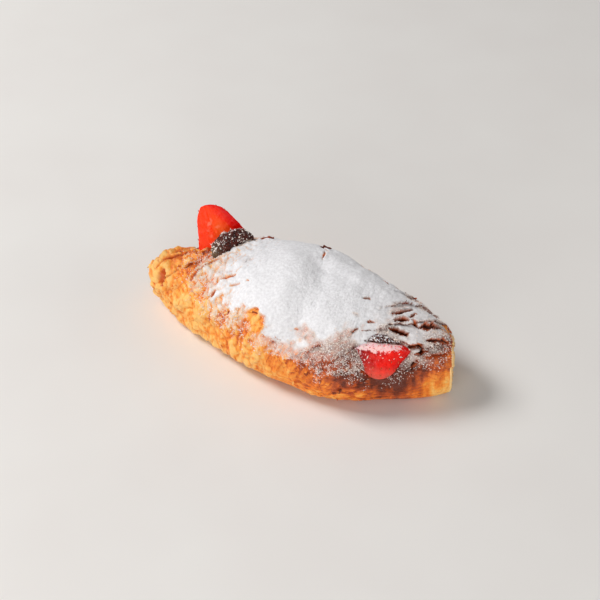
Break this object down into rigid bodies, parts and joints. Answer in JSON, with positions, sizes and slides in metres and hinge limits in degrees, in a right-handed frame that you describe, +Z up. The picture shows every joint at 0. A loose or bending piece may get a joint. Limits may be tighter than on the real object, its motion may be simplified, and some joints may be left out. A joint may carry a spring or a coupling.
{
  "type": "filled croissant",
  "caption": "Long flaky croissant wrapped aslant round a dark filling, with a strawberry half standing in the rear mouth and another tucked in the front one.",
  "frame": {"origin": "centre of the footprint, on the surface that the croissant rests on", "axes": "+X along the roll from its low narrow end to its blunt end, +Z up, -Y the front that carries the tucked strawberry"},
  "size_m": [0.1792, 0.0803, 0.0571],
  "materials": {
    "golden_crust": "baked crust, satin where brushed with egg, dull where dusted with sugar",
    "dark_chocolate": "soft satin",
    "strawberry_red": "wet gloss",
    "icing_sugar": "dry powder"
  },
  "bodies": {
    "root": {"pastry": "golden_crust", "chocolate_filling": "dark_chocolate", "strawberry_standing": "strawberry_red", "strawberry_tucked": "strawberry_red"}
  },
  "joints": []
}
